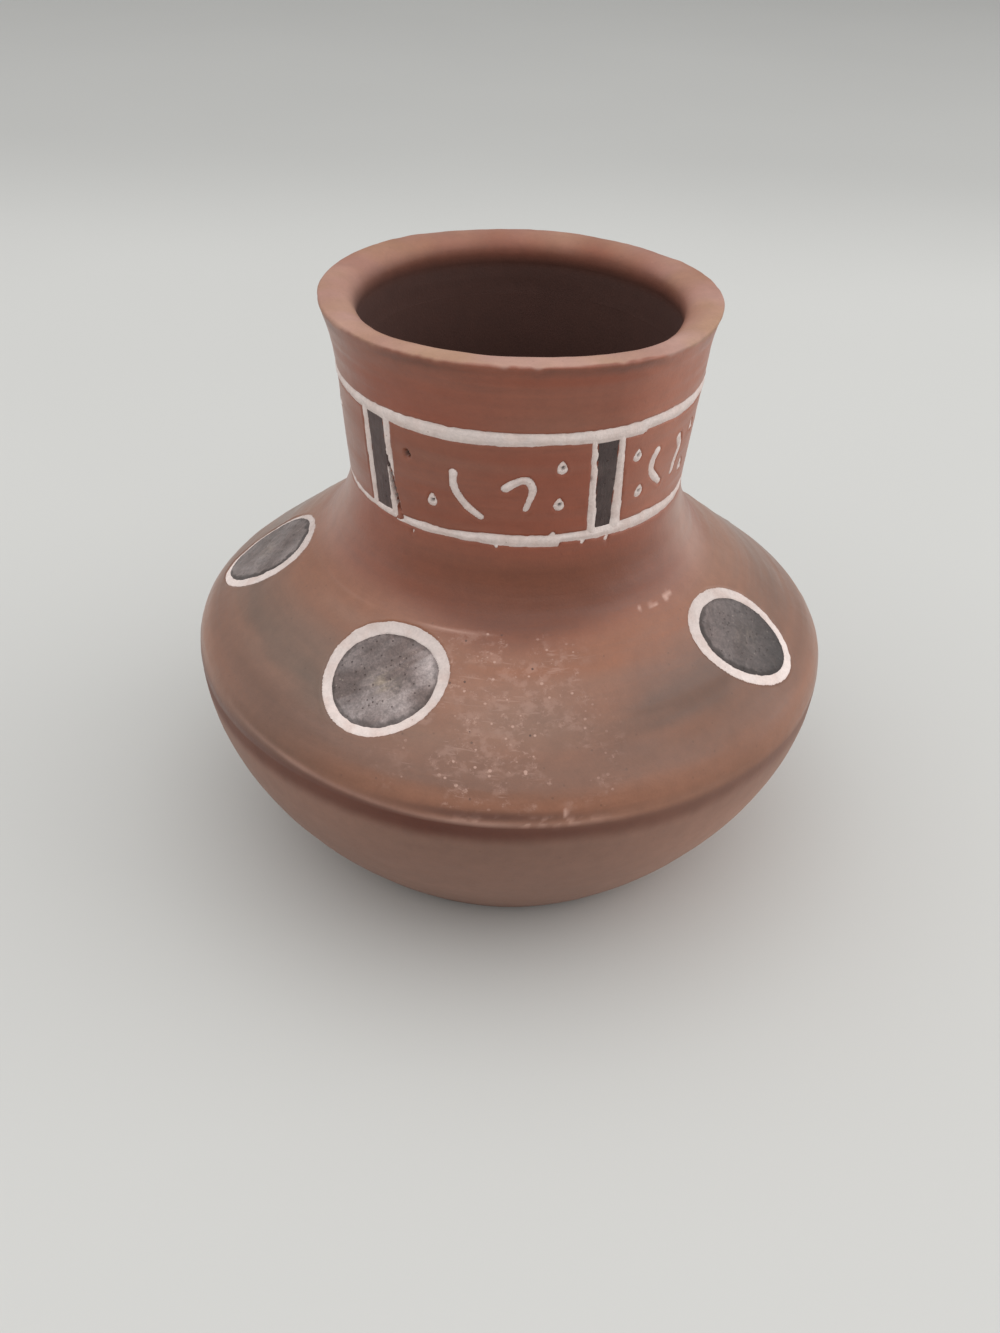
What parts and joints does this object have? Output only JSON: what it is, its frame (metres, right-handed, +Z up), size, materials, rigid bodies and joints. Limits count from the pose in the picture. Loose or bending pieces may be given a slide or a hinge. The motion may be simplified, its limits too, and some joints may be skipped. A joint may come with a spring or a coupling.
{
  "type": "redware vase",
  "caption": "Small keeled redware vase with a flared lip, a neck band of white and dark slip-filled marks, and ringed dark spots on the shoulder; stands on its flat base.",
  "frame": {"origin": "centre of the flat base, on the surface that the vase stands on", "axes": "+Z up along the vase's axis; the pictured side faces -Y"},
  "size_m": [0.112, 0.112, 0.101],
  "materials": {
    "red_clay": "burnished unglazed red earthenware with smoky fire clouds",
    "white_slip": "matte chalky slip",
    "dark_slip": "burnished dark grey slip"
  },
  "bodies": {
    "root": {"bowl": "red_clay", "shoulder": "red_clay", "neck": "red_clay", "rim": "red_clay", "upper_line": "white_slip", "lower_line": "white_slip", "divider_1_left_line": "white_slip", "divider_1_right_line": "white_slip", "divider_2_left_line": "white_slip", "divider_2_right_line": "white_slip", "divider_3_left_line": "white_slip", "divider_3_right_line": "white_slip", "divider_4_left_line": "white_slip", "divider_4_right_line": "white_slip", "divider_5_left_line": "white_slip", "divider_5_right_line": "white_slip", "panel_1_stroke_1": "white_slip", "panel_1_stroke_2": "white_slip", "panel_1_dot_1": "white_slip", "panel_1_dot_2": "white_slip", "panel_1_dot_3": "white_slip", "panel_2_stroke_1": "white_slip", "panel_2_stroke_2": "white_slip", "panel_2_dot_1": "white_slip", "panel_2_dot_2": "white_slip", "panel_2_dot_3": "white_slip", "panel_2_dot_4": "white_slip", "panel_3_stroke_1": "white_slip", "panel_3_stroke_2": "white_slip", "panel_3_dot_1": "white_slip", "panel_3_dot_2": "white_slip", "panel_3_dot_3": "white_slip", "panel_3_dot_4": "white_slip", "panel_4_stroke_1": "white_slip", "panel_4_stroke_2": "white_slip", "panel_4_dot_1": "white_slip", "panel_4_dot_2": "white_slip", "panel_4_dot_3": "white_slip", "panel_4_dot_4": "white_slip", "panel_5_stroke_1": "white_slip", "panel_5_stroke_2": "white_slip", "panel_5_dot_1": "white_slip", "panel_5_dot_2": "white_slip", "panel_5_dot_3": "white_slip", "panel_5_dot_4": "white_slip", "spot_1_ring": "white_slip", "spot_2_ring": "white_slip", "spot_3_ring": "white_slip", "spot_4_ring": "white_slip", "spot_5_ring": "white_slip", "divider_1_bar": "dark_slip", "divider_2_bar": "dark_slip", "divider_3_bar": "dark_slip", "divider_4_bar": "dark_slip", "divider_5_bar": "dark_slip", "spot_1_disc": "dark_slip", "spot_2_disc": "dark_slip", "spot_3_disc": "dark_slip", "spot_4_disc": "dark_slip", "spot_5_disc": "dark_slip"}
  },
  "joints": []
}
